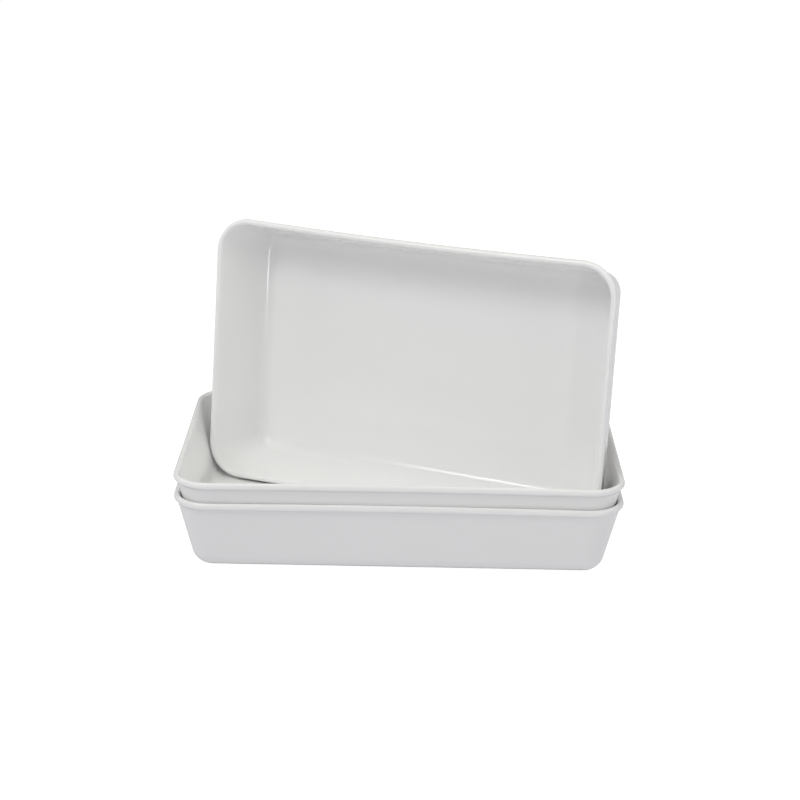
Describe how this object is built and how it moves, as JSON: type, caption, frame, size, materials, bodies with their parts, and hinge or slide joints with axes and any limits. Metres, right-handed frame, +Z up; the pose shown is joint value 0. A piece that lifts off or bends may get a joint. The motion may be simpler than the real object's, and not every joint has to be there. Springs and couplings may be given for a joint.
{
  "type": "developing tray set",
  "caption": "Nested stackable white plastic trays for processing photographic prints, with a further tray leaning on edge in the nest.",
  "frame": {"origin": "centre of the lower tray's flat underside", "axes": "+Z up, +X along the trays' long side, +Y towards the rear wall that the third tray leans on"},
  "size_m": [0.2998, 0.1947, 0.2083],
  "materials": {
    "white_plastic": "smooth glossy moulded white plastic with a faint cool grey cast"
  },
  "bodies": {
    "lower": {"lower_tray": "white_plastic"},
    "nested": {"nested_tray": "white_plastic"},
    "leaning": {"leaning_tray": "white_plastic"}
  },
  "joints": [
    {"name": "nested_tray_lift", "type": "slide", "parent": "lower", "child": "nested", "axis": [0, 0, 1], "range_m": [0, 0.06]},
    {"name": "leaning_tray_lift", "type": "slide", "parent": "nested", "child": "leaning", "axis": [0, 0, 1], "range_m": [0, 0.06]}
  ]
}
